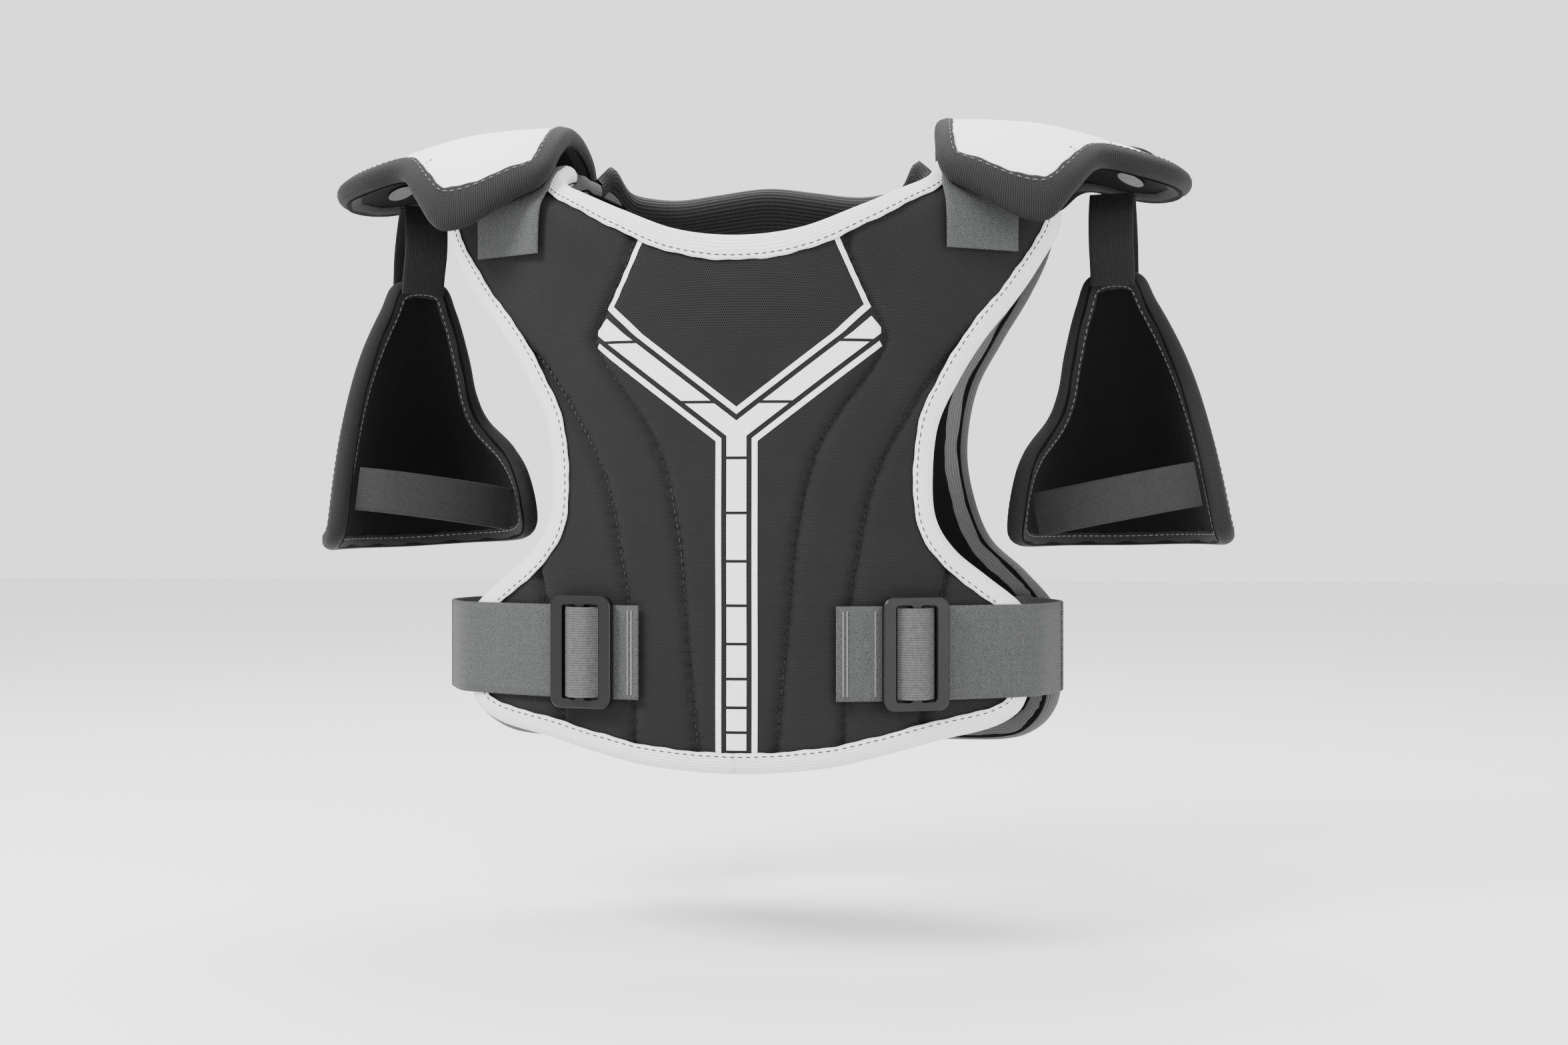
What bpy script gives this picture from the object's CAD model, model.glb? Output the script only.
"""The looks of a set of ice sports shoulder pads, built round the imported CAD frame.

Shapes are worked out in millimetres, in the frame's own axes (+Z up, the wearer faces -Y), and
turned into metres when a mesh is made. Each soft panel is a flat sheet of triangles, cut to its
outline and its sewn seams, that is then laid on the curved form it belongs to.
"""

import math

import bpy
import numpy as np
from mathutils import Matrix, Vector
from mathutils.geometry import delaunay_2d_cdt


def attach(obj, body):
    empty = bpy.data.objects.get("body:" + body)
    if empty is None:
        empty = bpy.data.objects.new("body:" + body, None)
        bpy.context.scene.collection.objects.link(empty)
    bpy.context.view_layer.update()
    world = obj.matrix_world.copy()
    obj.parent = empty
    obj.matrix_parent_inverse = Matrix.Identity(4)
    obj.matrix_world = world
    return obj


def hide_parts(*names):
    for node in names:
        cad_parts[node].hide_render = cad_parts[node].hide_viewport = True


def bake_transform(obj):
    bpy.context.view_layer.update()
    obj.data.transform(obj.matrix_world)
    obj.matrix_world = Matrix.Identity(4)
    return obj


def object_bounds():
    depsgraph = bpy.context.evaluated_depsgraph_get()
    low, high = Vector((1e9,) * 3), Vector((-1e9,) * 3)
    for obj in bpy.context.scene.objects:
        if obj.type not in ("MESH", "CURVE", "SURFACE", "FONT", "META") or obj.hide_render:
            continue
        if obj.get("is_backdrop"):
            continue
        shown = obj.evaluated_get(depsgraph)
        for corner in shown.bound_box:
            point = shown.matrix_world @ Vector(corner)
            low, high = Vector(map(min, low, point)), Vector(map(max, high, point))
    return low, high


MM = 0.001
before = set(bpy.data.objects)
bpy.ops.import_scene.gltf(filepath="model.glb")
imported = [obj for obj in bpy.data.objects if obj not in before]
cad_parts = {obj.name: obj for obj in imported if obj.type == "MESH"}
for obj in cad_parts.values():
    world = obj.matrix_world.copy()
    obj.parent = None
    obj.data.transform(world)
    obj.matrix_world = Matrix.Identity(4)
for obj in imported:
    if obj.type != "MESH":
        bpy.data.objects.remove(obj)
CAD_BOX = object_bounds()
SIDES = {"left": 1, "right": -1}

# ---------------------------------------------------------------- sizes, in millimetres
PANEL = 9.6
TAPE = 1.1
TAPE_WIDTH = 11.5
PAD_INSET = 1.8
COLLAR_REACH = 101.5
CAP_THICKNESS = 9.8
GUARD_THICKNESS = 8.4
STRAP_Z = -252.0
STRAP_WIDTH = 50.0
STRAP_THICKNESS = 1.8
SHOULDER_STRAP_WIDTH = 42.0
BAND_WIDTH = 25.0
BAND_THICKNESS = 1.6
ARM_STRAP_Z = -132.0
ARM_STRAP_LEAN = 10.0
STRIPE_SLOPE = 1.302      # of the printed V: x for each millimetre of height
STRIPE_TOP = -129.4       # where the V's upper and lower edges cross the middle
STRIPE_FOOT = -141.4
STRIPE_HALF = 5.25        # half the width of the band down the middle
STRIPE_LINE = 3.0
FLOOR_Z = -0.42           # in metres


# ---------------------------------------------------------------- lines and sheets
def resample(line, step):
    gaps = np.linalg.norm(np.diff(line, axis=0), axis=1)
    along = np.concatenate([[0], np.cumsum(gaps)])
    want = np.linspace(0, along[-1], max(2, int(round(along[-1] / step))) + 1)
    return np.stack([np.interp(want, along, line[:, k]) for k in range(line.shape[1])], 1)


def curve(points, step, closed=False):
    """Evenly spaced points on a smooth line through points; a closed one doesn't repeat its start."""
    p = np.array(points, float)
    n = len(p)
    t = np.linspace(0, 1, 24, endpoint=False)[:, None]
    runs = []
    for i in range(n if closed else n - 1):
        b, c = p[i], p[(i + 1) % n]
        a = p[i - 1] if closed or i else 2 * b - c
        d = p[(i + 2) % n] if closed or i + 2 < n else 2 * c - b
        square = (2 * a - 5 * b + 4 * c - d) * t**2
        cube = (3 * (b - c) + d - a) * t**3
        runs.append(0.5 * (2 * b + (c - a) * t + square + cube))
    runs.append(p[:1] if closed else p[-1:])
    line = resample(np.vstack(runs), step)
    return line[:-1] if closed else line


def polygon(points, step):
    """A closed outline with straight sides, divided evenly, without repeating its start."""
    p = np.array(points, float)
    runs = [resample(np.array([p[i], p[(i + 1) % len(p)]]), step)[:-1] for i in range(len(p))]
    return np.vstack(runs)


def mirrored(half):
    """A closed outline from its +X half, which starts and ends on the centre line."""
    return list(half) + [(-x, y) for x, y in reversed(half[1:-1])]


def inside(points, outline):
    """Which points lie inside a closed outline."""
    x, y = points[:, 0], points[:, 1]
    found = np.zeros(len(points), bool)
    for (x0, y0), (x1, y1) in zip(outline, np.roll(outline, -1, axis=0)):
        crosses = (y0 > y) != (y1 > y)
        with np.errstate(divide="ignore", invalid="ignore"):
            found ^= crosses & (x < (x1 - x0) * (y - y0) / (y1 - y0) + x0)
    return found


def distance(points, line, closed=False):
    """Each point's distance from a line of points."""
    ends = np.roll(line, -1, axis=0) if closed else line[1:]
    starts = line if closed else line[:-1]
    best = np.full(len(points), 1e9)
    for a, b in zip(starts, ends):
        d = b - a
        t = np.clip(((points - a) @ d) / max(d @ d, 1e-9), 0, 1)
        best = np.minimum(best, np.linalg.norm(points - a - t[:, None] * d, axis=1))
    return best


def inward(outline):
    """Unit normals into an anticlockwise closed outline, smoothed a little."""
    d = np.roll(outline, -1, axis=0) - np.roll(outline, 1, axis=0)
    n = np.stack([-d[:, 1], d[:, 0]], 1)
    n = n + np.roll(n, 1, axis=0) + np.roll(n, -1, axis=0)
    return n / np.linalg.norm(n, axis=1)[:, None]


def cut_sheet(outline, seams, step):
    """Even triangles inside a closed outline, with edges along the seams: points and faces."""
    points = [Vector(p) for p in outline]
    edges = [(i, (i + 1) % len(outline)) for i in range(len(outline))]
    lines = []
    for seam in seams:
        kept = seam[inside(seam, outline) & (distance(seam, outline, True) > 0.4 * step)]
        if len(kept) > 1:
            edges += [(len(points) + i, len(points) + i + 1) for i in range(len(kept) - 1)]
            points += [Vector(p) for p in kept]
            lines.append(kept)
    low, high = outline.min(0), outline.max(0)
    rows = np.arange(low[1], high[1], step * 0.866)
    grid = [(x + (i % 2) * step / 2, y) for i, y in enumerate(rows) for x in np.arange(low[0], high[0], step)]
    grid = np.array(grid)
    near = distance(grid, outline, True)
    for line in lines:
        near = np.minimum(near, distance(grid, line))
    grid = grid[inside(grid, outline) & (near > 0.55 * step)]
    points += [Vector(p) for p in grid]
    made = delaunay_2d_cdt(points, edges, [], 1, 1e-4)
    flat = np.array([(v.x, v.y) for v in made[0]])
    faces = []
    for face in made[2]:
        (ax, ay), (bx, by), (cx, cy) = flat[face[0]], flat[face[1]], flat[face[2]]
        turn = (bx - ax) * (cy - ay) - (by - ay) * (cx - ax)
        if abs(turn) > 1e-4:
            faces.append(tuple(face) if turn > 0 else tuple(reversed(face)))
    return flat, faces


# ---------------------------------------------------------------- meshes
def add_mesh(name, verts, faces, uv, material, body, slot, replaces=(), crease=None):
    """A smooth-shaded mesh from millimetres, riding on a body."""
    mesh = bpy.data.meshes.new(name)
    mesh.from_pydata((np.asarray(verts, float) * MM).tolist(), [], [list(map(int, f)) for f in faces])
    mesh.validate()
    layer = mesh.uv_layers.new(name="cloth")
    uv = np.asarray(uv, float)
    loops = np.zeros(len(mesh.loops), int)
    mesh.loops.foreach_get("vertex_index", loops)
    layer.data.foreach_set("uv", (uv[loops] / 10.0).ravel())
    mesh.shade_smooth()
    if crease:
        mesh.set_sharp_from_angle(angle=math.radians(crease))
    mesh.materials.append(material)
    made = bpy.data.objects.new(name, mesh)
    bpy.context.scene.collection.objects.link(made)
    if body:
        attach(made, body)
    if replaces:
        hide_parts(*replaces)
    return made


def flip(faces, side):
    return [tuple(reversed(f)) for f in faces] if side < 0 else faces


def padded_sheet(name, outline, seams, surface, relief, thickness, step, side=1, rim=2.2, **piece):
    """A closed pad: an outer sheet with its relief, and an inner sheet a thickness below it."""
    outline = outline + inward(outline) * PAD_INSET
    flat, faces = cut_sheet(outline, seams, step)
    n = len(flat)
    edge = distance(flat, outline, True)
    tuck = rim * (1 - np.clip(edge / 6.0, 0, 1)) ** 2
    outer = surface(flat, relief(flat) + tuck)
    inner = surface(flat, thickness - tuck)
    wall = [((i + 1) % len(outline), i, n + i, n + (i + 1) % len(outline)) for i in range(len(outline))]
    every = list(faces) + [tuple(n + k for k in reversed(f)) for f in faces] + wall
    verts = np.vstack([outer, inner])
    if side < 0:
        verts = verts * (-1, 1, 1)
    return add_mesh(name, verts, flip(every, side), np.vstack([flat, flat]), **piece)


def lining_sheet(name, outline, surface, depth, step, side=1, **piece):
    """A thin closed cloth over the inner face."""
    outline = outline + inward(outline) * PAD_INSET
    flat, faces = cut_sheet(outline, [], step)
    n = len(flat)
    ripple = 0.25 * np.sin(flat[:, 0] * 0.23 + 1.3 * np.sin(flat[:, 1] * 0.07)) * np.sin(flat[:, 1] * 0.11)
    upper = surface(flat, depth + ripple)
    lower = surface(flat, depth + 0.6 + ripple)
    wall = [((i + 1) % len(outline), i, n + i, n + (i + 1) % len(outline)) for i in range(len(outline))]
    every = list(faces) + [tuple(n + k for k in reversed(f)) for f in faces] + wall
    verts = np.vstack([upper, lower])
    if side < 0:
        verts = verts * (-1, 1, 1)
    return add_mesh(name, verts, flip(every, side), np.vstack([flat, flat]), **piece)


def edge_tape(name, outline, surface, thickness, width, side=1, **piece):
    """Binding folded round the whole edge of a pad."""
    normals = inward(outline)
    gaps = np.linalg.norm(np.roll(outline, -1, axis=0) - outline, axis=1)
    along = np.concatenate([[0], np.cumsum(gaps)[:-1]])
    half = thickness / 2 + TAPE
    middle = thickness / 2
    profile = [(width, -0.15), (width, -0.75 * TAPE), (width - 0.7, -TAPE), (width * 0.7, -TAPE - 0.25)]
    for k in range(9):
        turn = math.radians(90 + 180 * k / 8)
        profile.append((half * 0.9 + half * 0.9 * math.cos(turn), middle - half * math.sin(turn)))
    inner = thickness
    profile += [(width * 0.7, inner + TAPE + 0.25), (width - 0.7, inner + TAPE), (width, inner + 0.75 * TAPE),
                (width, inner + 0.15)]
    # The tape's hidden side, so that it is a closed shell.
    profile += [(half * 1.2, inner - 0.4), (half * 0.55, middle), (half * 1.2, 0.4)]
    count, m = len(outline), len(profile)
    wave = 0.22 * np.sin(along * 0.21) + 0.16 * np.sin(along * 0.53 + 1.0)
    verts, uv = [], []
    across = 0.0
    for k, (inset, depth) in enumerate(profile):
        if k:
            across += math.hypot(inset - profile[k - 1][0], depth - profile[k - 1][1])
        place = outline + normals * (inset + wave * (inset > half * 1.3))[:, None]
        verts.append(surface(place, np.full(count, depth)))
        uv.append(np.stack([along, np.full(count, across)], 1))
    verts, uv = np.vstack(verts), np.vstack(uv)
    faces = []
    for k in range(m):
        for i in range(count):
            j = (i + 1) % count
            a, b = k * count, ((k + 1) % m) * count
            faces.append((a + i, b + i, b + j, a + j))
    if side < 0:
        verts = verts * (-1, 1, 1)
    return add_mesh(name, verts, flip(faces, side), uv, **piece)


def stitch_line(
    name, line, surface, depth, pitch=4.2, length=2.6, radius=0.32, side=1, closed=False, **piece
):
    """A row of separate thread stitches along a line on a surface."""
    if closed:
        line = np.vstack([line, line[:1]])
    line = resample(line, pitch)
    middle = (line[1:] + line[:-1]) / 2
    way = line[1:] - line[:-1]
    way = way / np.linalg.norm(way, axis=1)[:, None]
    here = surface(middle, depth)
    ahead = surface(middle + way * 0.5, depth)
    above = surface(middle, np.asarray(depth) - 1.0)
    t = ahead - here
    t = t / np.linalg.norm(t, axis=1)[:, None]
    up = above - here
    up = up / np.linalg.norm(up, axis=1)[:, None]
    across = np.cross(t, up)
    # Along a stitch: how far, as a share of its length, then its thickness and its rise in radii.
    rings = (
        (-0.5, 0.25, -0.35), (-0.36, 0.85, -0.05), (0.0, 1.0, 0.1), (0.36, 0.85, -0.05), (0.5, 0.25, -0.35),
    )
    verts, faces = [], []
    count = len(here)
    for share, grow, rise in rings:
        for k in range(5):
            turn = 2 * math.pi * k / 5
            r = radius * grow
            height = r * math.sin(turn) + rise * radius * 2
            verts.append(here + t * share * length + across * r * math.cos(turn) + up * height)
    verts = np.stack(verts, 1).reshape(-1, 3)
    size = len(rings) * 5
    for s in range(count):
        for r in range(len(rings) - 1):
            for k in range(5):
                a, b = s * size + r * 5, s * size + (r + 1) * 5
                faces.append((a + k, a + (k + 1) % 5, b + (k + 1) % 5, b + k))
        faces.append(tuple(s * size + k for k in reversed(range(5))))
        faces.append(tuple(s * size + (len(rings) - 1) * 5 + k for k in range(5)))
    if side < 0:
        verts = verts * (-1, 1, 1)
    return add_mesh(name, verts, flip(faces, side), verts[:, :2], **piece)


def ribbon(name, line, normals, width, thickness, side=1, **piece):
    """Flat webbing along a line of 3-D points, with its face along normals."""
    line, normals = np.asarray(line, float), np.asarray(normals, float)
    way = np.gradient(line, axis=0)
    way = way / np.linalg.norm(way, axis=1)[:, None]
    across = np.cross(way, normals)
    across = across / np.linalg.norm(across, axis=1)[:, None]
    up = np.cross(across, way)
    w, h, r = width / 2, thickness / 2, thickness * 0.32
    profile = [(-w, -h + r), (-w, h - r), (-w + r, h)]
    profile += [(-w + r + (2 * w - 2 * r) * k / 12, h) for k in range(1, 12)]
    profile += [(w - r, h), (w, h - r), (w, -h + r), (w - r, -h)]
    profile += [(w - r - (2 * w - 2 * r) * k / 12, -h) for k in range(1, 12)]
    profile += [(-w + r, -h)]
    along = np.concatenate([[0], np.cumsum(np.linalg.norm(np.diff(line, axis=0), axis=1))])
    n, m = len(line), len(profile)
    verts = np.vstack([line + across * a + up * b for a, b in profile])
    uv = np.vstack([np.stack([along, np.full(n, a + w)], 1) for a, b in profile])
    faces = []
    for k in range(m):
        a, b = k * n, ((k + 1) % m) * n
        faces += [(a + i, a + i + 1, b + i + 1, b + i) for i in range(n - 1)]
    faces.append(tuple(k * n for k in reversed(range(m))))
    faces.append(tuple(k * n + n - 1 for k in range(m)))
    if side < 0:
        verts = verts * (-1, 1, 1)
    return add_mesh(name, verts, flip(faces, side), uv, crease=50, **piece)


# ---------------------------------------------------------------- materials
class Nodes:
    """A material being built: add() makes a node and links what its inputs are given."""

    def __init__(self, name):
        self.material = bpy.data.materials.new(name)
        self.material.use_nodes = True
        self.tree = self.material.node_tree
        self.shader = self.tree.nodes["Principled BSDF"]

    def put(self, node, socket, value):
        if isinstance(value, bpy.types.NodeSocket):
            self.tree.links.new(value, node.inputs[socket])
        elif value is not None:
            node.inputs[socket].default_value = value

    def add(self, kind, inputs=(), **settings):
        node = self.tree.nodes.new(kind)
        for key, value in settings.items():
            setattr(node, key, value)
        for socket, value in dict(inputs).items():
            self.put(node, socket, value)
        return node

    def math(self, operation, a, b=None, c=None, clamp=False):
        node = self.add("ShaderNodeMath", operation=operation, use_clamp=clamp)
        for i, value in enumerate((a, b, c)):
            if value is not None:
                self.put(node, i, value)
        return node.outputs[0]

    def uv(self):
        """The cloth's own coordinates, in millimetres along and across it."""
        node = self.add("ShaderNodeUVMap", uv_map="cloth")
        split = self.add("ShaderNodeSeparateXYZ", {0: node.outputs[0]})
        return self.math("MULTIPLY", split.outputs[0], 10.0), self.math("MULTIPLY", split.outputs[1], 10.0)

    def place(self):
        """For a CAD node: how far across and up it is, in millimetres."""
        where = self.add("ShaderNodeTexCoord").outputs["Object"]
        split = self.add("ShaderNodeSeparateXYZ", {0: where})
        across = self.math("MULTIPLY", split.outputs[0], 1000.0)
        return across, self.math("MULTIPLY", split.outputs[2], 1000.0)

    def noise(self, scale, detail=2.0, rough=0.5, stretch=None):
        where = self.add("ShaderNodeTexCoord").outputs["Object"]
        if stretch:
            where = self.add("ShaderNodeMapping", {"Vector": where, "Scale": stretch}).outputs[0]
        inputs = {"Vector": where, "Scale": scale, "Detail": detail, "Roughness": rough}
        return self.add("ShaderNodeTexNoise", inputs).outputs[0]

    def mix(self, share, a, b):
        node = self.add("ShaderNodeMix", data_type="RGBA")
        self.put(node, 0, share)
        self.put(node, 6, a)
        self.put(node, 7, b)
        return node.outputs[2]

    def wave(self, coordinate, pitch, shift=0.0):
        """0 to 1 and back once every pitch."""
        angle = self.math("MULTIPLY_ADD", coordinate, 2 * math.pi / pitch, shift)
        return self.math("MULTIPLY_ADD", self.math("SINE", angle), 0.5, 0.5)

    def bump(self, height, strength, distance_mm):
        inputs = {"Height": height, "Strength": strength, "Distance": distance_mm * MM}
        node = self.add("ShaderNodeBump", inputs)
        self.put(self.shader, "Normal", node.outputs[0])

    def finish(self, color, roughness, sheen=0.0, specular=0.5):
        self.put(self.shader, "Base Color", color)
        self.put(self.shader, "Roughness", roughness)
        self.put(self.shader, "Specular IOR Level", specular)
        if sheen:
            self.put(self.shader, "Sheen Weight", sheen)
            self.put(self.shader, "Sheen Roughness", 0.5)
        return self.material


def rgb(value, tint=(1, 1, 1)):
    return (value * tint[0], value * tint[1], value * tint[2], 1.0)


def perforated_knit(name, dark, light, pitch=1.15, tint=(1, 1, 0.97)):
    """Knit with a honeycomb of tiny holes."""
    m = Nodes(name)
    u, v = m.uv()
    row = m.math("DIVIDE", v, pitch * 0.866)
    number = m.math("FLOOR", row)
    odd = m.math("MODULO", number, 2.0)
    column = m.math("ADD", m.math("DIVIDE", u, pitch), m.math("MULTIPLY", m.math("ABSOLUTE", odd), 0.5))
    du = m.math("SUBTRACT", m.math("FRACT", column), 0.5)
    dv = m.math("MULTIPLY", m.math("SUBTRACT", m.math("FRACT", row), 0.5), 0.9)
    far = m.math("SQRT", m.math("ADD", m.math("MULTIPLY", du, du), m.math("MULTIPLY", dv, dv)))
    solid = m.math("MULTIPLY_ADD", far, 5.0, -0.75, clamp=True)
    patch = m.noise(38.0, 3.0)
    lit = m.mix(patch, rgb(light * 0.85, tint), rgb(light * 1.12, tint))
    color = m.mix(solid, rgb(dark, tint), lit)
    soft = m.math("MULTIPLY_ADD", m.noise(420.0, 2.0), 0.5, m.math("MULTIPLY", solid, 1.0))
    m.bump(soft, 0.55, 0.35)
    return m.finish(color, 0.88, sheen=0.03, specular=0.12)


def ribbed_tape(name, base, rib, rib_pitch, cross_pitch, along=True, depth=0.3, rough=0.75, tint=(1, 1, 1)):
    """Woven binding: ribs along it (or across it) and a fine cross weave."""
    m = Nodes(name)
    u, v = m.uv()
    main, other = (v, u) if along else (u, v)
    ribs = m.wave(main, rib_pitch)
    weave = m.wave(other, cross_pitch)
    height = m.math("MULTIPLY_ADD", weave, 0.35, ribs)
    height = m.math("MULTIPLY_ADD", m.noise(160.0, 3.0), 0.5, height)
    color = m.mix(m.math("MULTIPLY", ribs, 1.0, clamp=True), rgb(rib, tint), rgb(base, tint))
    m.bump(height, 0.6, depth)
    return m.finish(color, rough, sheen=0.03, specular=0.15)


def melange_elastic(name, low, high, pitch=1.5, tint=(0.97, 1, 1)):
    """Herringbone elastic in mixed greys."""
    m = Nodes(name)
    u, v = m.uv()
    fold = m.math("PINGPONG", v, 2.4)
    twill = m.wave(m.math("ADD", u, m.math("MULTIPLY", fold, 1.2)), pitch)
    cord = m.wave(v, 1.2)
    speck = m.noise(900.0, 2.0, 0.7, stretch=(1.0, 1.0, 2.5))
    height = m.math("MULTIPLY_ADD", cord, 0.6, twill)
    share = m.math("MULTIPLY_ADD", speck, 1.3, m.math("MULTIPLY_ADD", twill, 0.45, -0.4), clamp=True)
    m.bump(height, 0.6, 0.3)
    return m.finish(m.mix(share, rgb(low, tint), rgb(high, tint)), 0.8, sheen=0.05, specular=0.15)


def plain_elastic(name, low, high, pitch=1.3, cloth=True):
    m = Nodes(name)
    u, v = m.uv() if cloth else m.place()
    cord = m.wave(v, pitch)
    pick = m.wave(u, 0.9)
    height = m.math("MULTIPLY_ADD", pick, 0.5, cord)
    m.bump(height, 0.55, 0.28)
    share = m.math("MULTIPLY_ADD", m.noise(500.0), 0.7, m.math("MULTIPLY", cord, 0.4), clamp=True)
    return m.finish(m.mix(share, rgb(low), rgb(high)), 0.7, sheen=0.03, specular=0.15)


def brushed_lining(name, value):
    m = Nodes(name)
    nap = m.noise(260.0, 4.0, 0.65)
    m.bump(nap, 0.5, 0.5)
    return m.finish(m.mix(nap, rgb(value * 0.6), rgb(value * 1.5)), 0.95, sheen=0.02, specular=0.08)


def cap_cloth(name, value):
    """White knit with fine slanting ribs."""
    m = Nodes(name)
    u, v = m.uv()
    rib = m.wave(m.math("ADD", u, m.math("MULTIPLY", v, 0.35)), 1.1)
    soft = m.noise(60.0, 3.0)
    height = m.math("MULTIPLY_ADD", soft, 0.8, m.math("MULTIPLY", rib, 0.7))
    m.bump(height, 0.35, 0.25)
    color = m.mix(rib, rgb(value * 0.93, (1, 1, 1.005)), rgb(value, (1, 1, 1.005)))
    return m.finish(color, 0.72, sheen=0.1, specular=0.35)


def print_film(name, value):
    m = Nodes(name)
    u, v = m.uv()
    weave = m.math("MULTIPLY", m.wave(u, 1.15), m.wave(v, 1.0))
    worn = m.noise(95.0, 4.0, 0.6)
    m.bump(m.math("MULTIPLY_ADD", worn, 0.6, weave), 0.3, 0.15)
    tint = (0.985, 0.99, 1)
    return m.finish(m.mix(worn, rgb(value * 0.93, tint), rgb(value, tint)), 0.5, specular=0.45)


def moulded_plastic(name, value, roughness):
    m = Nodes(name)
    grain = m.noise(700.0, 3.0)
    m.bump(grain, 0.12, 0.1)
    rough = m.math("MULTIPLY_ADD", m.noise(90.0), 0.15, roughness - 0.07)
    return m.finish(rgb(value), rough, specular=0.22)


def thread(name, value):
    m = Nodes(name)
    return m.finish(rgb(value), 0.7, sheen=0.2, specular=0.3)


KNIT = perforated_knit("chest_knit", 0.0015, 0.0125)
BACK_KNIT = perforated_knit("back_knit", 0.0015, 0.0115)
GUARD_KNIT = perforated_knit("guard_knit", 0.0025, 0.014)
WHITE_TAPE = ribbed_tape("white_tape", 0.70, 0.50, 1.5, 0.9, depth=0.28)
GREY_TAPE = ribbed_tape("grey_tape", 0.085, 0.05, 1.5, 0.9, depth=0.28)
DARK_TAPE = ribbed_tape("dark_tape", 0.013, 0.003, 1.25, 1.1, along=False, depth=0.35)
COLLAR_KNIT = ribbed_tape("collar_knit", 0.012, 0.003, 2.3, 0.8, depth=0.7, rough=0.62)
LINING = brushed_lining("brushed_lining", 0.0022)
GREY_ELASTIC = melange_elastic("grey_elastic", 0.012, 0.085)
BLACK_ELASTIC = plain_elastic("black_elastic", 0.003, 0.009)
GUARD_ELASTIC = plain_elastic("guard_elastic", 0.008, 0.022)
GREY_ELASTIC_PLAIN = plain_elastic("grey_elastic_loop", 0.02, 0.09, cloth=False)
BLACK_ELASTIC_PLAIN = plain_elastic("hook_pile", 0.008, 0.028, cloth=False)
CAP_CLOTH = cap_cloth("cap_cloth", 0.78)
PRINT = print_film("print_film", 0.66)
HARDWARE = moulded_plastic("hardware", 0.004, 0.38)
DARK_THREAD = thread("dark_thread", 0.012)
GREY_THREAD = thread("grey_thread", 0.09)
BLACK_THREAD = thread("black_thread", 0.002)


# ---------------------------------------------------------------- the torso form
HALF_WIDTH, DEPTH, SIDE_RADIUS = 184.0, 96.0, 60.0
SPRING_Z, ARCH = -83.0, 100.0
SIDE_X = HALF_WIDTH - SIDE_RADIUS
WIDE = (SIDE_X**2 + DEPTH**2 - SIDE_RADIUS**2) / (2 * (DEPTH - SIDE_RADIUS))


def soft_ramp(t, width):
    return (t + np.sqrt(t * t + width * width)) / 2


def shoulder_top(x):
    return 17.0 + 0.40 * soft_ramp(126 - np.sqrt(x * x + 900), 10.0)


def torso_point(x, s, facing):
    """s is the height, and over the shoulder it goes on as the length along the arch."""
    ax = np.minimum(np.abs(x), HALF_WIDTH - 0.5)
    wide = np.sqrt(np.maximum(WIDE**2 - ax**2, 0)) - (WIDE - DEPTH)
    side = np.sqrt(np.maximum(SIDE_RADIUS**2 - np.maximum(ax - SIDE_X, 0) ** 2, 0))
    turn_x = SIDE_X + SIDE_RADIUS * SIDE_X / (WIDE - SIDE_RADIUS)
    plan = np.where(ax < turn_x, wide, side)
    turn = np.clip((s - SPRING_Z) / ARCH, 0, math.pi / 2)
    z = np.where(s < SPRING_Z, s, SPRING_Z + (shoulder_top(x) - SPRING_Z) * np.sin(turn))
    arch = ARCH * np.cos(turn)
    y = (plan + arch - np.sqrt((plan - arch) ** 2 + 49.0)) / 2 + 1.5
    return np.stack([x, facing * y, z], 1)


def form_surface(point):
    """surface(flat, depth): points of the form below (depth > 0) or above its outer face."""

    def surface(flat, depth):
        u, v = flat[:, 0], flat[:, 1]
        here = point(u, v)
        along = point(u + 0.5, v) - point(u - 0.5, v)
        up = point(u, v + 0.5) - point(u, v - 0.5)
        normal = np.cross(along, up)
        normal = normal / np.maximum(np.linalg.norm(normal, axis=1), 1e-9)[:, None]
        return here - normal * np.asarray(depth, float).reshape(-1, 1)

    return surface


front_form = form_surface(lambda x, s: torso_point(x, s, -1))


def back_form(flat, depth):
    """The back, drawn as seen from behind: +x of the sheet is the wearer's right."""
    return form_surface(lambda x, s: torso_point(-x, s, 1))(flat, depth)


def relief_of(seams, groove, reach, seed=0.0):
    """How far below the form a quilted face lies: grooves along the seams, puckers beside them."""

    def relief(flat):
        near = np.full(len(flat), 1e9)
        for seam in seams:
            near = np.minimum(near, distance(flat, seam))
        t = np.clip(near / reach, 0, 1)
        dip = groove * (1 - np.sqrt(np.maximum(1 - (1 - t) ** 2, 0)))
        x, s = flat[:, 0], flat[:, 1]
        pucker = 0.45 * np.exp(-near / 8.0) * np.sin(s * 0.95 + 2.2 * np.sin(x * 0.16 + seed))
        broad = 0.55 * np.sin(x * 0.051 + 0.9 + seed) * np.sin(s * 0.043 + 0.4)
        swell = broad + 0.25 * np.sin(x * 0.11 + s * 0.07 + seed)
        return dip + pucker + swell + 0.6

    return relief


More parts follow.
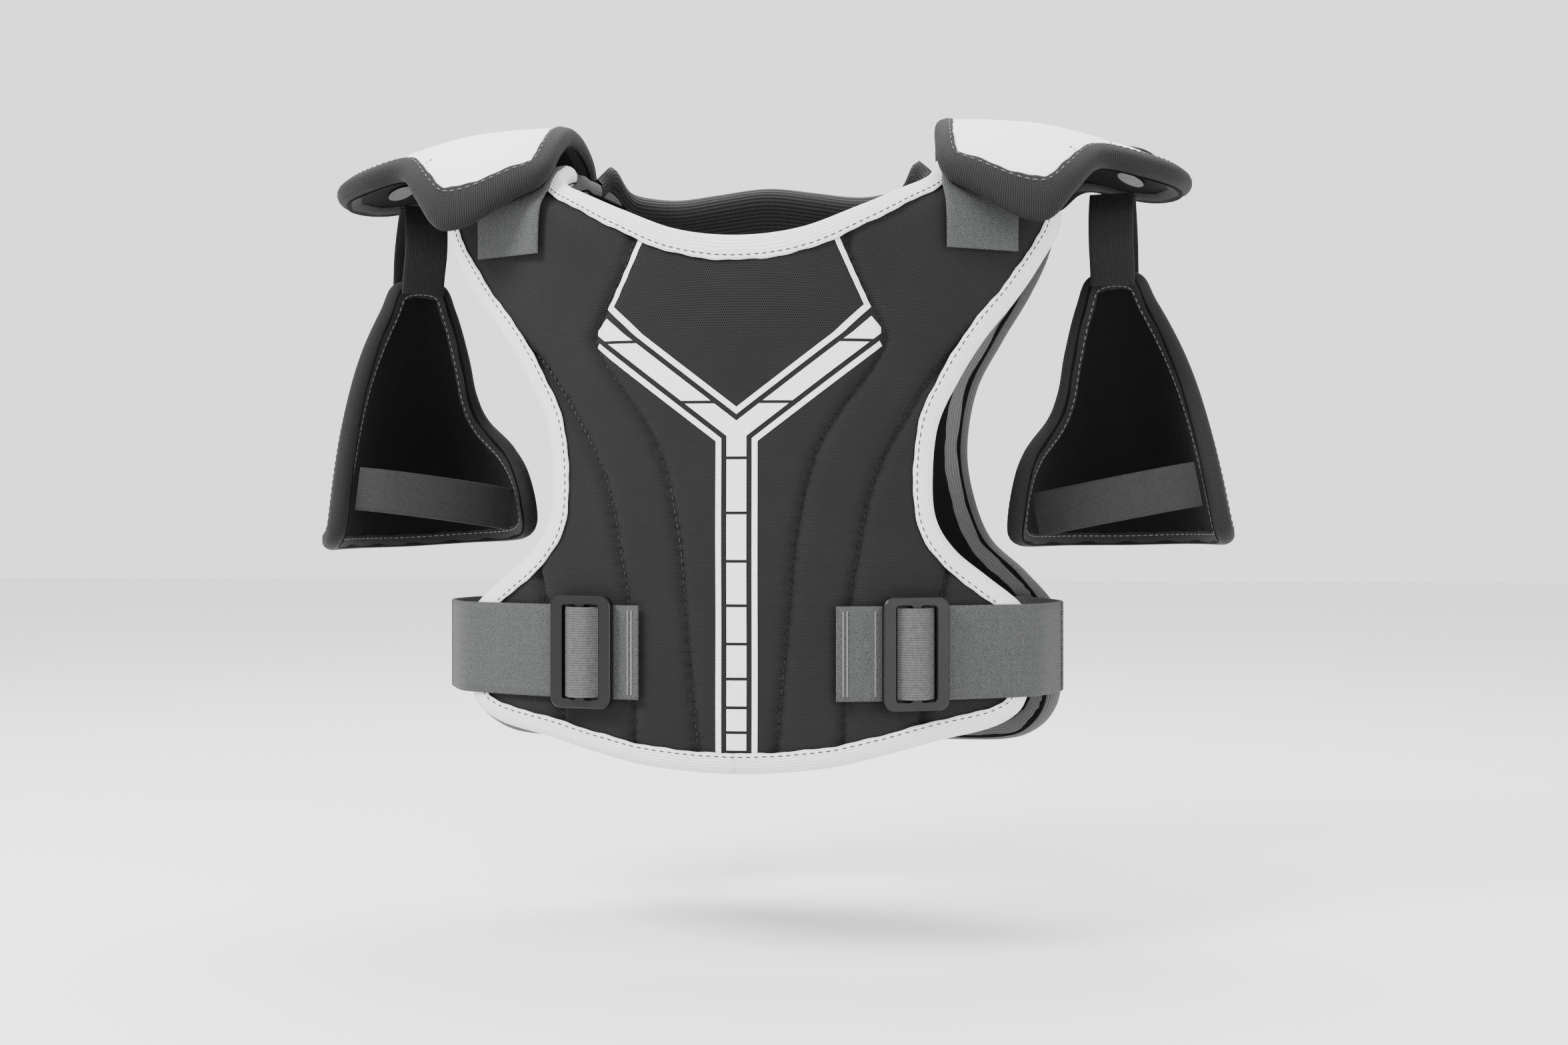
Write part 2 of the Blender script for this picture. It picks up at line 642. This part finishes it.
# ---------------------------------------------------------------- chest panel
CHEST = mirrored([
    (0, -316), (46, -313), (78, -306.5), (106, -299.5), (134, -294), (149, -287), (155, -278), (157.5, -266),
    (159, -240), (151, -226), (133, -211.5), (115.5, -197), (105.5, -180), (104, -156), (107, -131),
    (117, -109), (131, -86), (149, -63), (163, -41), (173, -20), (174, -2), (166, 18), (153, 36), (149, 66),
    (108, 66), (105, 36), (99, 12), (86, -4), (64, -22), (34, -38), (0, -43.5),
])
INNER_SEAM = [
    (55, -20), (58, -43), (67, -62), (77.5, -80), (78, -88), (72, -100), (60, -116), (46, -137), (38, -158),
    (31, -195), (27, -240), (21.5, -300), (20, -322),
]
OUTER_SEAM = [
    (140, -74), (126, -83), (112, -94), (101, -108), (91, -124), (80, -143), (71, -165), (64, -200),
    (60, -225), (57, -270), (56, -322),
]
WING_SEAM = [(116, -196), (111, -212), (105, -240), (100, -268), (97, -304)]


def both(points, step):
    line = curve(points, step)
    return [line, line * (-1, 1)]


def build_chest():
    outline = curve(CHEST, 2.6, closed=True)
    seams = both(INNER_SEAM, 2.2) + both(OUTER_SEAM, 2.2) + both(WING_SEAM, 2.2)
    relief = relief_of(seams, 4.4, 8.5)
    foams = ["chest_foam_" + n for n in ("side_right", "inner_right", "centre", "inner_left", "side_left")]
    pad = padded_sheet(
        "chest_quilted_pad", outline, seams, front_form, relief, PANEL, 2.8,
        material=KNIT, body="chest", slot="chest_fabric", replaces=["chest_cover", "heart_plate"] + foams,
    )
    lining = lining_sheet("chest_inner_lining", outline, front_form, PANEL + 0.1, 6.0, material=LINING,
                          body="chest", slot="lining", replaces=["chest_lining"])
    edge_tape("chest_edge_tape", outline, front_form, PANEL, TAPE_WIDTH, material=WHITE_TAPE, body="chest",
              slot="white_tape", replaces=["chest_binding"])
    row = outline + inward(outline) * (TAPE_WIDTH - 1.8)
    stitch_line("chest_edge_stitches", row, front_form, -TAPE - 0.25, closed=True, material=DARK_THREAD,
                body="chest", slot="white_tape")
    for k, seam in enumerate(seams):
        keep = seam[inside(seam, outline) & (distance(seam, outline, True) > TAPE_WIDTH - 1)]
        stitch_line(f"chest_seam_stitches_{k}", keep, front_form, 4.7, pitch=3.8, length=2.7, radius=0.42,
                    material=BLACK_THREAD, body="chest", slot="chest_fabric")
    build_print(relief)


def build_print(relief):
    """Plain stripes heat-pressed on the chest: a V whose bands run on down the middle."""

    def upper(z):
        return (z - STRIPE_TOP) * STRIPE_SLOPE

    def lower(z):
        return (z - STRIPE_FOOT) * STRIPE_SLOPE

    half = STRIPE_HALF
    fork = half / STRIPE_SLOPE + STRIPE_FOOT
    shapes = []
    for side in (1, -1):
        end = [(71, -75.5), (76, -80.5), (76, -83), (lower(-86.2), -86.2), (upper(-86.2), -86.2)]
        arm = [(upper(-87.8), -87.8), (lower(-87.8), -87.8), (lower(-118.7), -118.7), (upper(-118.7), -118.7)]
        shapes += [[(side * x, z) for x, z in shape] for shape in (end, arm)]
    top, low = -120.3, -148.2
    shapes.append([(upper(top), top), (lower(top), top), (half, fork), (half, low), (-half, low),
                   (-half, fork), (-lower(top), top), (-upper(top), top), (0, STRIPE_TOP)])
    breaks = [-149.0, -178.0, -203.4, -226.8, -247.0, -265.4, -280.5, -293.5, -303.7, -306.5]
    for a, b in zip(breaks, breaks[1:]):
        shapes.append([(-half, a - 0.8), (half, a - 0.8), (half, b + 0.8), (-half, b + 0.8)])
    shapes.append(stripe([(-52.5, -42), (-69, -71), (0, -124), (69, -71), (52.5, -42)], STRIPE_LINE))
    for side in (1, -1):
        shapes.append(stripe([(side * 76, -88.4), (side * 9.6, -139.4), (side * 9.6, -304.5)], STRIPE_LINE))
    verts, faces, flats = [], [], []
    for shape in shapes:
        outline = polygon(shape, 2.0)
        area = np.sum(outline[:, 0] * np.roll(outline[:, 1], -1) - np.roll(outline[:, 0], -1) * outline[:, 1])
        flat, tri = cut_sheet(outline if area > 0 else outline[::-1], [], 2.2)
        start = sum(len(f) for f in flats)
        verts.append(front_form(flat, relief(flat) - 0.32))
        faces += [tuple(start + k for k in f) for f in tri]
        flats.append(flat)
    add_mesh("chest_printed_stripes", np.vstack(verts), faces, np.vstack(flats), material=PRINT, body="chest",
             slot="white_tape")


def stripe(points, width):
    """The outline of an even stripe along straight runs, with mitred corners."""
    p = np.array(points, float)
    way = np.diff(p, axis=0)
    way = way / np.linalg.norm(way, axis=1)[:, None]
    normal = np.stack([-way[:, 1], way[:, 0]], 1)
    mitre = [normal[0]]
    for a, b in zip(normal, normal[1:]):
        m = a + b
        mitre.append(m / (m @ a))
    mitre.append(normal[-1])
    mitre = np.array(mitre) * width / 2
    return np.vstack([p - mitre, (p + mitre)[::-1]]).tolist()


# ---------------------------------------------------------------- back panel
BACK = mirrored([
    (0, -317), (60, -317), (118, -316), (150, -313), (167, -305), (177, -290), (179.5, -268), (179.5, -246),
    (175, -230), (158, -211), (138, -192), (127.5, -165), (124, -136), (130, -102), (145, -74), (162, -46),
    (172, -22), (174, -2), (166, 18), (153, 36), (149, 66), (108, 66), (101, 52), (86, 26), (60, 10), (30, 5),
    (0, 4.5),
])
BACK_SEAM = [(60, 40), (60, -20), (62, -90), (56, -160), (44, -240), (38, -330)]
SPINE_SEAM = [(18, 30), (20, -60), (18, -180), (14, -330)]


def build_back():
    outline = curve(BACK, 2.8, closed=True)
    seams = both(BACK_SEAM, 2.4) + both(SPINE_SEAM, 2.4)
    relief = relief_of(seams, 3.4, 7.5, seed=2.0)
    foams = ["back_foam_right", "back_foam_centre", "back_foam_left"]
    pad = padded_sheet("back_quilted_pad", outline, seams, back_form, relief, PANEL, 3.2, material=BACK_KNIT,
                       body="back", slot="back_fabric", replaces=["back_cover", "spine_plate"] + foams)
    lining = lining_sheet("back_inner_lining", outline, back_form, PANEL + 0.1, 6.0, material=LINING,
                          body="back", slot="lining", replaces=["back_lining"])
    edge_tape("back_edge_tape", outline, back_form, PANEL, TAPE_WIDTH, material=GREY_TAPE, body="back",
              slot="grey_tape", replaces=["back_binding"])
    row = outline + inward(outline) * (TAPE_WIDTH - 1.8)
    stitch_line("back_edge_stitches", row, back_form, -TAPE - 0.25, closed=True, material=DARK_THREAD,
                body="back", slot="grey_tape")
    for k, seam in enumerate(seams):
        keep = seam[inside(seam, outline) & (distance(seam, outline, True) > TAPE_WIDTH - 1)]
        stitch_line(f"back_seam_stitches_{k}", keep, back_form, 3.9, pitch=3.4, length=2.3, radius=0.3,
                    material=BLACK_THREAD, body="back", slot="back_fabric")
    build_collar()


def build_collar():
    """The ribbed band round the back of the neck; its two ends fold up beside the caps."""
    half = [(0, 4.5), (30, 5), (60, 10), (86, 26), (99, 45)]
    line = curve([(-x, s) for x, s in reversed(half[1:])] + half, 2.5)
    n = len(line)
    way = np.gradient(line, axis=0)
    way = way / np.linalg.norm(way, axis=1)[:, None]
    down = np.stack([way[:, 1], -way[:, 0]], 1)
    share = np.linspace(-1, 1, n)
    pop = np.exp(-((np.abs(share) - 0.88) / 0.08) ** 2)
    rows = []
    profile = [
        (28, -2.2), (20, -2.8), (12, -3.0), (5, -2.9), (0.5, -1.2), (-1.2, 3.0), (-1.2, 7.0), (0.5, 11.2),
        (5, 12.8), (12, 13.0), (20, 12.9), (28, 12.2), (27, 5.0),
    ]
    along = np.concatenate([[0], np.cumsum(np.linalg.norm(np.diff(line, axis=0), axis=1))])
    uv, across = [], 0.0
    for k, (inset, depth) in enumerate(profile):
        if k:
            across += math.hypot(inset - profile[k - 1][0], depth - profile[k - 1][1])
        place = line + down * inset
        place[:, 0] = np.clip(place[:, 0], -COLLAR_REACH, COLLAR_REACH)
        point = back_form(place * (-1, 1), np.full(n, depth))
        fold = pop * max(0.0, 1 - max(inset, 0) / 22.0)
        point = point + np.stack([np.zeros(n), -3.0 * fold, 13.0 * fold], 1)
        rows.append(point)
        uv.append(np.stack([along, np.full(n, across)], 1))
    m = len(profile)
    faces = []
    for k in range(m):
        a, b = k * n, ((k + 1) % m) * n
        faces += [(a + i, b + i, b + i + 1, a + i + 1) for i in range(n - 1)]
    faces.append(tuple(k * n for k in range(m)))
    faces.append(tuple(k * n + n - 1 for k in reversed(range(m))))
    add_mesh("neck_collar_band", np.vstack(rows), faces, np.vstack(uv), material=COLLAR_KNIT, body="back",
             slot="collar", replaces=["collar_band"])


# ---------------------------------------------------------------- elastic over the shoulders
def build_shoulder_straps():
    """One band over each shoulder, from a sewn tab on the chest to the back."""
    steps = [(-1, s) for s in np.arange(-36, 69, 3.0)] + [(1, s) for s in np.arange(69, 12, -3.0)]
    for name, side in SIDES.items():
        line, normals = [], []
        for facing, s in steps:
            here = form_surface(lambda x, v: torso_point(x, v, facing))
            flat = np.array([[128.0, s]])
            low, high = here(flat, [0.0])[0], here(flat, [facing * 1.0])[0]
            line.append(low + (high - low) * 3.0)
            normals.append(high - low)
        strap = ribbon(f"{name}_shoulder_elastic", line, normals, SHOULDER_STRAP_WIDTH, STRAP_THICKNESS,
                       side=side, material=GREY_ELASTIC, body=None, slot="grey_elastic",
                       replaces=[f"{name}_shoulder_strap_front", f"{name}_shoulder_strap_rear"])
        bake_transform(strap)


# ---------------------------------------------------------------- shoulder caps
CAP = [
    (103, 0), (103, -52), (107, -76), (124, -85), (146, -91), (166, -90), (181, -78), (197, -58),
    (222, -46), (242, -27), (250, 0), (242, 26), (222, 42), (197, 49), (181, 67), (162, 76), (134, 72),
    (109, 63), (103, 44),
]
CAP_TOP_X, CAP_TOP_Z = 125.0, 46.0
CAP_RIDGE, CAP_ARCH = 230.0, 96.0


def cap_point(x, y):
    """The cap is part of a ring that lies across the shoulder."""
    ring = CAP_RIDGE - CAP_ARCH + np.sqrt(CAP_ARCH**2 - np.clip(np.abs(y), 0, CAP_ARCH - 0.5) ** 2)
    return np.stack([x, y, CAP_TOP_Z - CAP_RIDGE + np.sqrt(ring**2 - (x - CAP_TOP_X) ** 2)], 1)


cap_form = form_surface(cap_point)


def build_cap(name, side):
    body = f"{name}_cap"
    outline = curve(CAP, 2.0, closed=True)
    seams = [
        curve([(193, -66), (200, -40), (202, 0), (201, 25), (198, 54)], 2.0),
        curve([(176, -56), (182, -62), (190, -68)], 2.0),
        curve([(108, -58), (146, -64), (178, -56)], 2.0),
        curve([(108, 46), (150, 52), (181, 48)], 2.0),
    ]
    deep = relief_of(seams[:2], 1.7, 5.0, seed=1.0)
    faint = relief_of(seams[2:], 0.7, 7.0, seed=0.0)

    def relief(flat):
        return 0.7 * deep(flat) + 0.6 * faint(flat) - 0.4

    pad = padded_sheet(f"{name}_cap_pad", outline, seams, cap_form, relief, CAP_THICKNESS, 2.6, side=side,
                       material=CAP_CLOTH, body=body, slot="cap_fabric",
                       replaces=[f"{name}_cap_{n}" for n in ("cover", "shell", "foam")])
    lining = lining_sheet(f"{name}_cap_inner_lining", outline, cap_form, CAP_THICKNESS + 0.1, 5.0, side=side,
                          material=LINING, body=body, slot="lining", replaces=[f"{name}_cap_lining"])
    edge_tape(f"{name}_cap_edge_tape", outline, cap_form, CAP_THICKNESS, 10.5, side=side, material=DARK_TAPE,
              body=body, slot="dark_tape", replaces=[f"{name}_cap_binding"])
    row = outline + inward(outline) * 8.8
    stitch_line(f"{name}_cap_edge_stitches", row, cap_form, -TAPE - 0.25, side=side, closed=True,
                material=GREY_THREAD, body=body, slot="dark_tape")
    for k, seam in enumerate(seams[:2]):
        keep = seam[inside(seam, outline) & (distance(seam, outline, True) > 8.0)]
        stitch_line(f"{name}_cap_seam_stitches_{k}", keep, cap_form, 1.7, pitch=2.6, length=2.1, radius=0.3,
                    side=side, material=BLACK_THREAD, body=body, slot="cap_fabric")


# ---------------------------------------------------------------- arm guards
APEX = (207.0, 14.0, -38.0)
YAW = {"left": -12.0, "right": -32.0}
TILT = {"left": -1.0, "right": 3.0}
GUARD_HEIGHT, GUARD_TOP, GUARD_LOW = 163.0, 36.0, 66.0
LEAN = math.radians(8.5)
# The guard cut flat and seen from outside: the first number runs towards the wearer's body.
GUARD = [
    (15, -1), (26, -18), (36, -46), (42, -68), (52, -84), (74, -98), (93, -113), (103, -131), (100, -147),
    (84, -156), (45, -161), (0, -163.5), (-45, -161), (-88, -156), (-103, -149), (-104, -137), (-92, -115),
    (-72, -82), (-48, -47), (-27, -18), (-15, -1),
]


def turn_z(points, degrees):
    a = math.radians(degrees)
    x, y, z = points.T
    return np.stack([x * math.cos(a) - y * math.sin(a), x * math.sin(a) + y * math.cos(a), z], 1)


def turn_y(points, degrees):
    a = math.radians(degrees)
    x, y, z = points.T
    return np.stack([x * math.cos(a) + z * math.sin(a), y, -x * math.sin(a) + z * math.cos(a)], 1)


def at_guard(points, name, tilt=True):
    """From a guard's own frame, which hangs from its top, to the wearer's left side."""
    return turn_y(turn_z(points, YAW[name]), TILT[name] if tilt else 0.0) + np.array(APEX)


def guard_form(name):
    def point(a, h):
        radius = GUARD_TOP - (GUARD_LOW - GUARD_TOP) * h / GUARD_HEIGHT
        x, y = radius * np.sin(-a / radius), radius * np.cos(a / radius) - GUARD_TOP
        back = y * math.cos(LEAN) - h * math.sin(LEAN)
        up = y * math.sin(LEAN) + h * math.cos(LEAN)
        return at_guard(np.stack([x, back, up], 1), name)

    return form_surface(point)


def build_guard(name, side):
    body = f"{name}_guard"
    surface = guard_form(name)
    outline = curve(GUARD, 2.2, closed=True)
    if turns_right(outline):
        outline = outline[::-1]
    seams = [
        curve([(-22, -30), (-34, -80), (-40, -170)], 2.2),
        curve([(16, -30), (26, -90), (34, -170)], 2.2),
    ]
    pad = padded_sheet(f"{name}_arm_guard_pad", outline, seams, surface, relief_of(seams, 1.6, 6.0, seed=3.0),
                       GUARD_THICKNESS, 3.0, side=side, material=GUARD_KNIT, body=body, slot="guard_fabric",
                       replaces=[f"{name}_arm_guard_cover", f"{name}_arm_guard_foam"])
    lining = lining_sheet(f"{name}_arm_guard_inner_lining", outline, surface, GUARD_THICKNESS + 0.1, 5.0,
                          side=side, material=LINING, body=body, slot="lining",
                          replaces=[f"{name}_arm_guard_lining"])
    edge_tape(f"{name}_arm_guard_edge_tape", outline, surface, GUARD_THICKNESS, 9.5, side=side,
              material=DARK_TAPE, body=body, slot="dark_tape", replaces=[f"{name}_arm_guard_binding"])
    for face, depth in (("outer", -TAPE - 0.25), ("inner", GUARD_THICKNESS + TAPE + 0.25)):
        row = outline + inward(outline) * 7.6
        stitch_line(f"{name}_arm_guard_{face}_stitches", row, surface, depth, side=side, closed=True,
                    material=GREY_THREAD, body=body, slot="dark_tape")
    build_guard_straps(name, side)


def build_guard_straps(name, side):
    line = curve([(-46, -18), (-30, -27), (0, -31), (30, -27), (46, -18)], 2.5)
    way = np.gradient(line, axis=0)
    flat = np.stack([line[:, 0], line[:, 1], np.zeros(len(line))], 1)
    out = np.stack([way[:, 1], -way[:, 0], np.zeros(len(line))], 1)
    out = out / np.linalg.norm(out, axis=1)[:, None]
    place = turn_y(flat, -ARM_STRAP_LEAN) + (0, 0, ARM_STRAP_Z)
    tip = turn_y(flat + out, -ARM_STRAP_LEAN) + (0, 0, ARM_STRAP_Z)
    place, tip = at_guard(place, name), at_guard(tip, name)
    ribbon(f"{name}_arm_guard_elastic", place, tip - place, BAND_WIDTH, BAND_THICKNESS, side=side,
           material=GUARD_ELASTIC, body=f"{name}_guard", slot="guard_elastic",
           replaces=[f"{name}_arm_guard_strap"])
    runs = {"front": [(-19, 41), (-23.5, 29), (-23, 14), (-17.5, 0), (-15, -10)],
            "rear": [(-11, 41), (-4, 31), (3, 16), (5.6, 2), (6.2, -9)]}
    for run, points in runs.items():
        line = curve(points, 2.0)
        way = np.gradient(line, axis=0)
        zero = np.zeros(len(line))
        place = at_guard(np.stack([zero, line[:, 0], line[:, 1]], 1), name, tilt=False)
        out = np.stack([zero, way[:, 1], -way[:, 0]], 1)
        tip = at_guard(np.stack([zero, line[:, 0], line[:, 1]], 1) + out, name, tilt=False)
        ribbon(f"{name}_hanger_elastic_{run}", place, tip - place, BAND_WIDTH, BAND_THICKNESS, side=side,
               material=BLACK_ELASTIC, body=f"{name}_hanger", slot="black_elastic",
               replaces=[f"{name}_hanger_band_{run}"])


def turns_right(outline):
    x, y = outline.T
    return np.sum(x * np.roll(y, -1) - np.roll(x, -1) * y) < 0


# ---------------------------------------------------------------- side straps and hardware
def chest_plan(x, lift):
    """The point round the front of the form at x, lift outside it, and the way out from there."""
    reach = WIDE - SIDE_RADIUS
    centre, radius = (0.0, WIDE - DEPTH), WIDE
    if x > SIDE_X + SIDE_RADIUS * SIDE_X / reach:
        centre, radius = (SIDE_X, 0.0), SIDE_RADIUS
    nx = (x - centre[0]) / radius
    ny = -math.sqrt(1 - nx * nx)
    return (centre[0] + nx * (radius + lift), centre[1] + ny * (radius + lift)), (nx, ny)


def upright_ribbon(name, line, width, thickness, side, **piece):
    """Webbing that stands on edge along a line seen from above."""
    line = curve(line, 2.5)
    way = np.gradient(line, axis=0)
    place = np.stack([line[:, 0], line[:, 1], np.full(len(line), STRAP_Z)], 1)
    out = np.stack([way[:, 1], -way[:, 0], np.zeros(len(line))], 1)
    return ribbon(name, place, out, width, thickness, side=side, **piece)


def build_side_straps(name, side):
    front = [chest_plan(x, 2.9)[0] for x in (52, 74, 95, 116, 137, 157)] + [(172.1, -26.6)]
    upright_ribbon(f"{name}_side_elastic_front", front, STRAP_WIDTH, STRAP_THICKNESS, side,
                   material=GREY_ELASTIC, body=f"{name}_side_strap", slot="grey_elastic",
                   replaces=[f"{name}_side_strap_front"])
    rear = [(173.5, -22.8), (174.5, -12), (172.5, 0), (169.3, 11), (164, 23), (155.5, 34), (146, 41)]
    strap = upright_ribbon(f"{name}_side_elastic_rear", rear, STRAP_WIDTH, STRAP_THICKNESS, side,
                           material=GREY_ELASTIC, body=None, slot="grey_elastic",
                           replaces=[f"{name}_side_strap_rear"])
    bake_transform(strap)
    for x in (55.5, 57.5, 72.0):
        (px, py), (nx, ny) = chest_plan(x, 3.9)
        line = np.array([(px, py, STRAP_Z + z) for z in np.arange(-22.5, 23, 2.5)])
        out = np.tile((nx, ny, 0), (len(line), 1))
        ribbon(f"{name}_side_bartack_{int(x)}", line, out, 0.9, 0.5, side=side, material=GREY_THREAD,
               body=f"{name}_side_strap", slot="grey_elastic")


def finish_cad_nodes():
    """The CAD pieces that stay in sight get their materials."""
    finishes = {"slide_buckle": HARDWARE, "cap_rivet": HARDWARE, "strap_loop": GREY_ELASTIC_PLAIN,
                "arm_guard_loop": GREY_ELASTIC_PLAIN, "side_strap_hook_pad": BLACK_ELASTIC_PLAIN}
    for name in SIDES:
        for node, material in finishes.items():
            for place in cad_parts[f"{name}_{node}"].material_slots:
                place.material = material


# ---------------------------------------------------------------- room, light and camera
def add_area_light(name, place, target, size, power):
    data = bpy.data.lights.new(name, "AREA")
    data.shape = "RECTANGLE"
    data.size, data.size_y = size
    data.energy = power
    light = bpy.data.objects.new(name, data)
    light.location = place
    light.rotation_euler = (Vector(target) - Vector(place)).to_track_quat("-Z", "Y").to_euler()
    bpy.context.scene.collection.objects.link(light)


def build_room():
    m = Nodes("pale_floor")
    floor_material = m.finish(rgb(0.86), 0.9)
    size, low = 6.0, FLOOR_Z
    verts = [(-size, -size, low), (size, -size, low), (size, size, low), (-size, size, low)]
    mesh = bpy.data.meshes.new("floor")
    mesh.from_pydata(verts, [], [(0, 1, 2, 3)])
    mesh.materials.append(floor_material)
    floor = bpy.data.objects.new("floor", mesh)
    bpy.context.scene.collection.objects.link(floor)
    floor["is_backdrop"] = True
    world = bpy.data.worlds.new("soft_white")
    world.use_nodes = True
    world.node_tree.nodes["Background"].inputs[0].default_value = (1, 1, 1, 1)
    world.node_tree.nodes["Background"].inputs[1].default_value = 1.9
    bpy.context.scene.world = world
    add_area_light("key", (-1.1, -1.0, 1.1), (0, 0, -0.12), (0.6, 0.6), 70)
    add_area_light("fill", (1.2, -1.3, 0.2), (0, 0, -0.15), (1.2, 1.2), 22)
    add_area_light("top", (0.0, 0.5, 1.5), (0, 0, -0.1), (1.4, 1.0), 40)


def build_camera():
    """Level with the chest, a metre away, and a little to the wearer's left."""
    turn = math.radians(5.5)
    target = Vector((0.016, 0.0, -0.183))
    data = bpy.data.cameras.new("photo_view")
    data.sensor_width, data.lens = 36.0, 39.6
    camera = bpy.data.objects.new("photo_view", data)
    camera.location = target + Vector((math.sin(turn), -math.cos(turn), 0.0))
    camera.rotation_euler = (target - camera.location).to_track_quat("-Z", "Y").to_euler()
    bpy.context.scene.collection.objects.link(camera)
    bpy.context.scene.camera = camera


build_chest()
build_back()
build_shoulder_straps()
for side_name, sign in SIDES.items():
    build_cap(side_name, sign)
    build_guard(side_name, sign)
    build_side_straps(side_name, sign)
finish_cad_nodes()
build_room()
build_camera()

sizes = [[list(corner) for corner in box] for box in (CAD_BOX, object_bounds())]
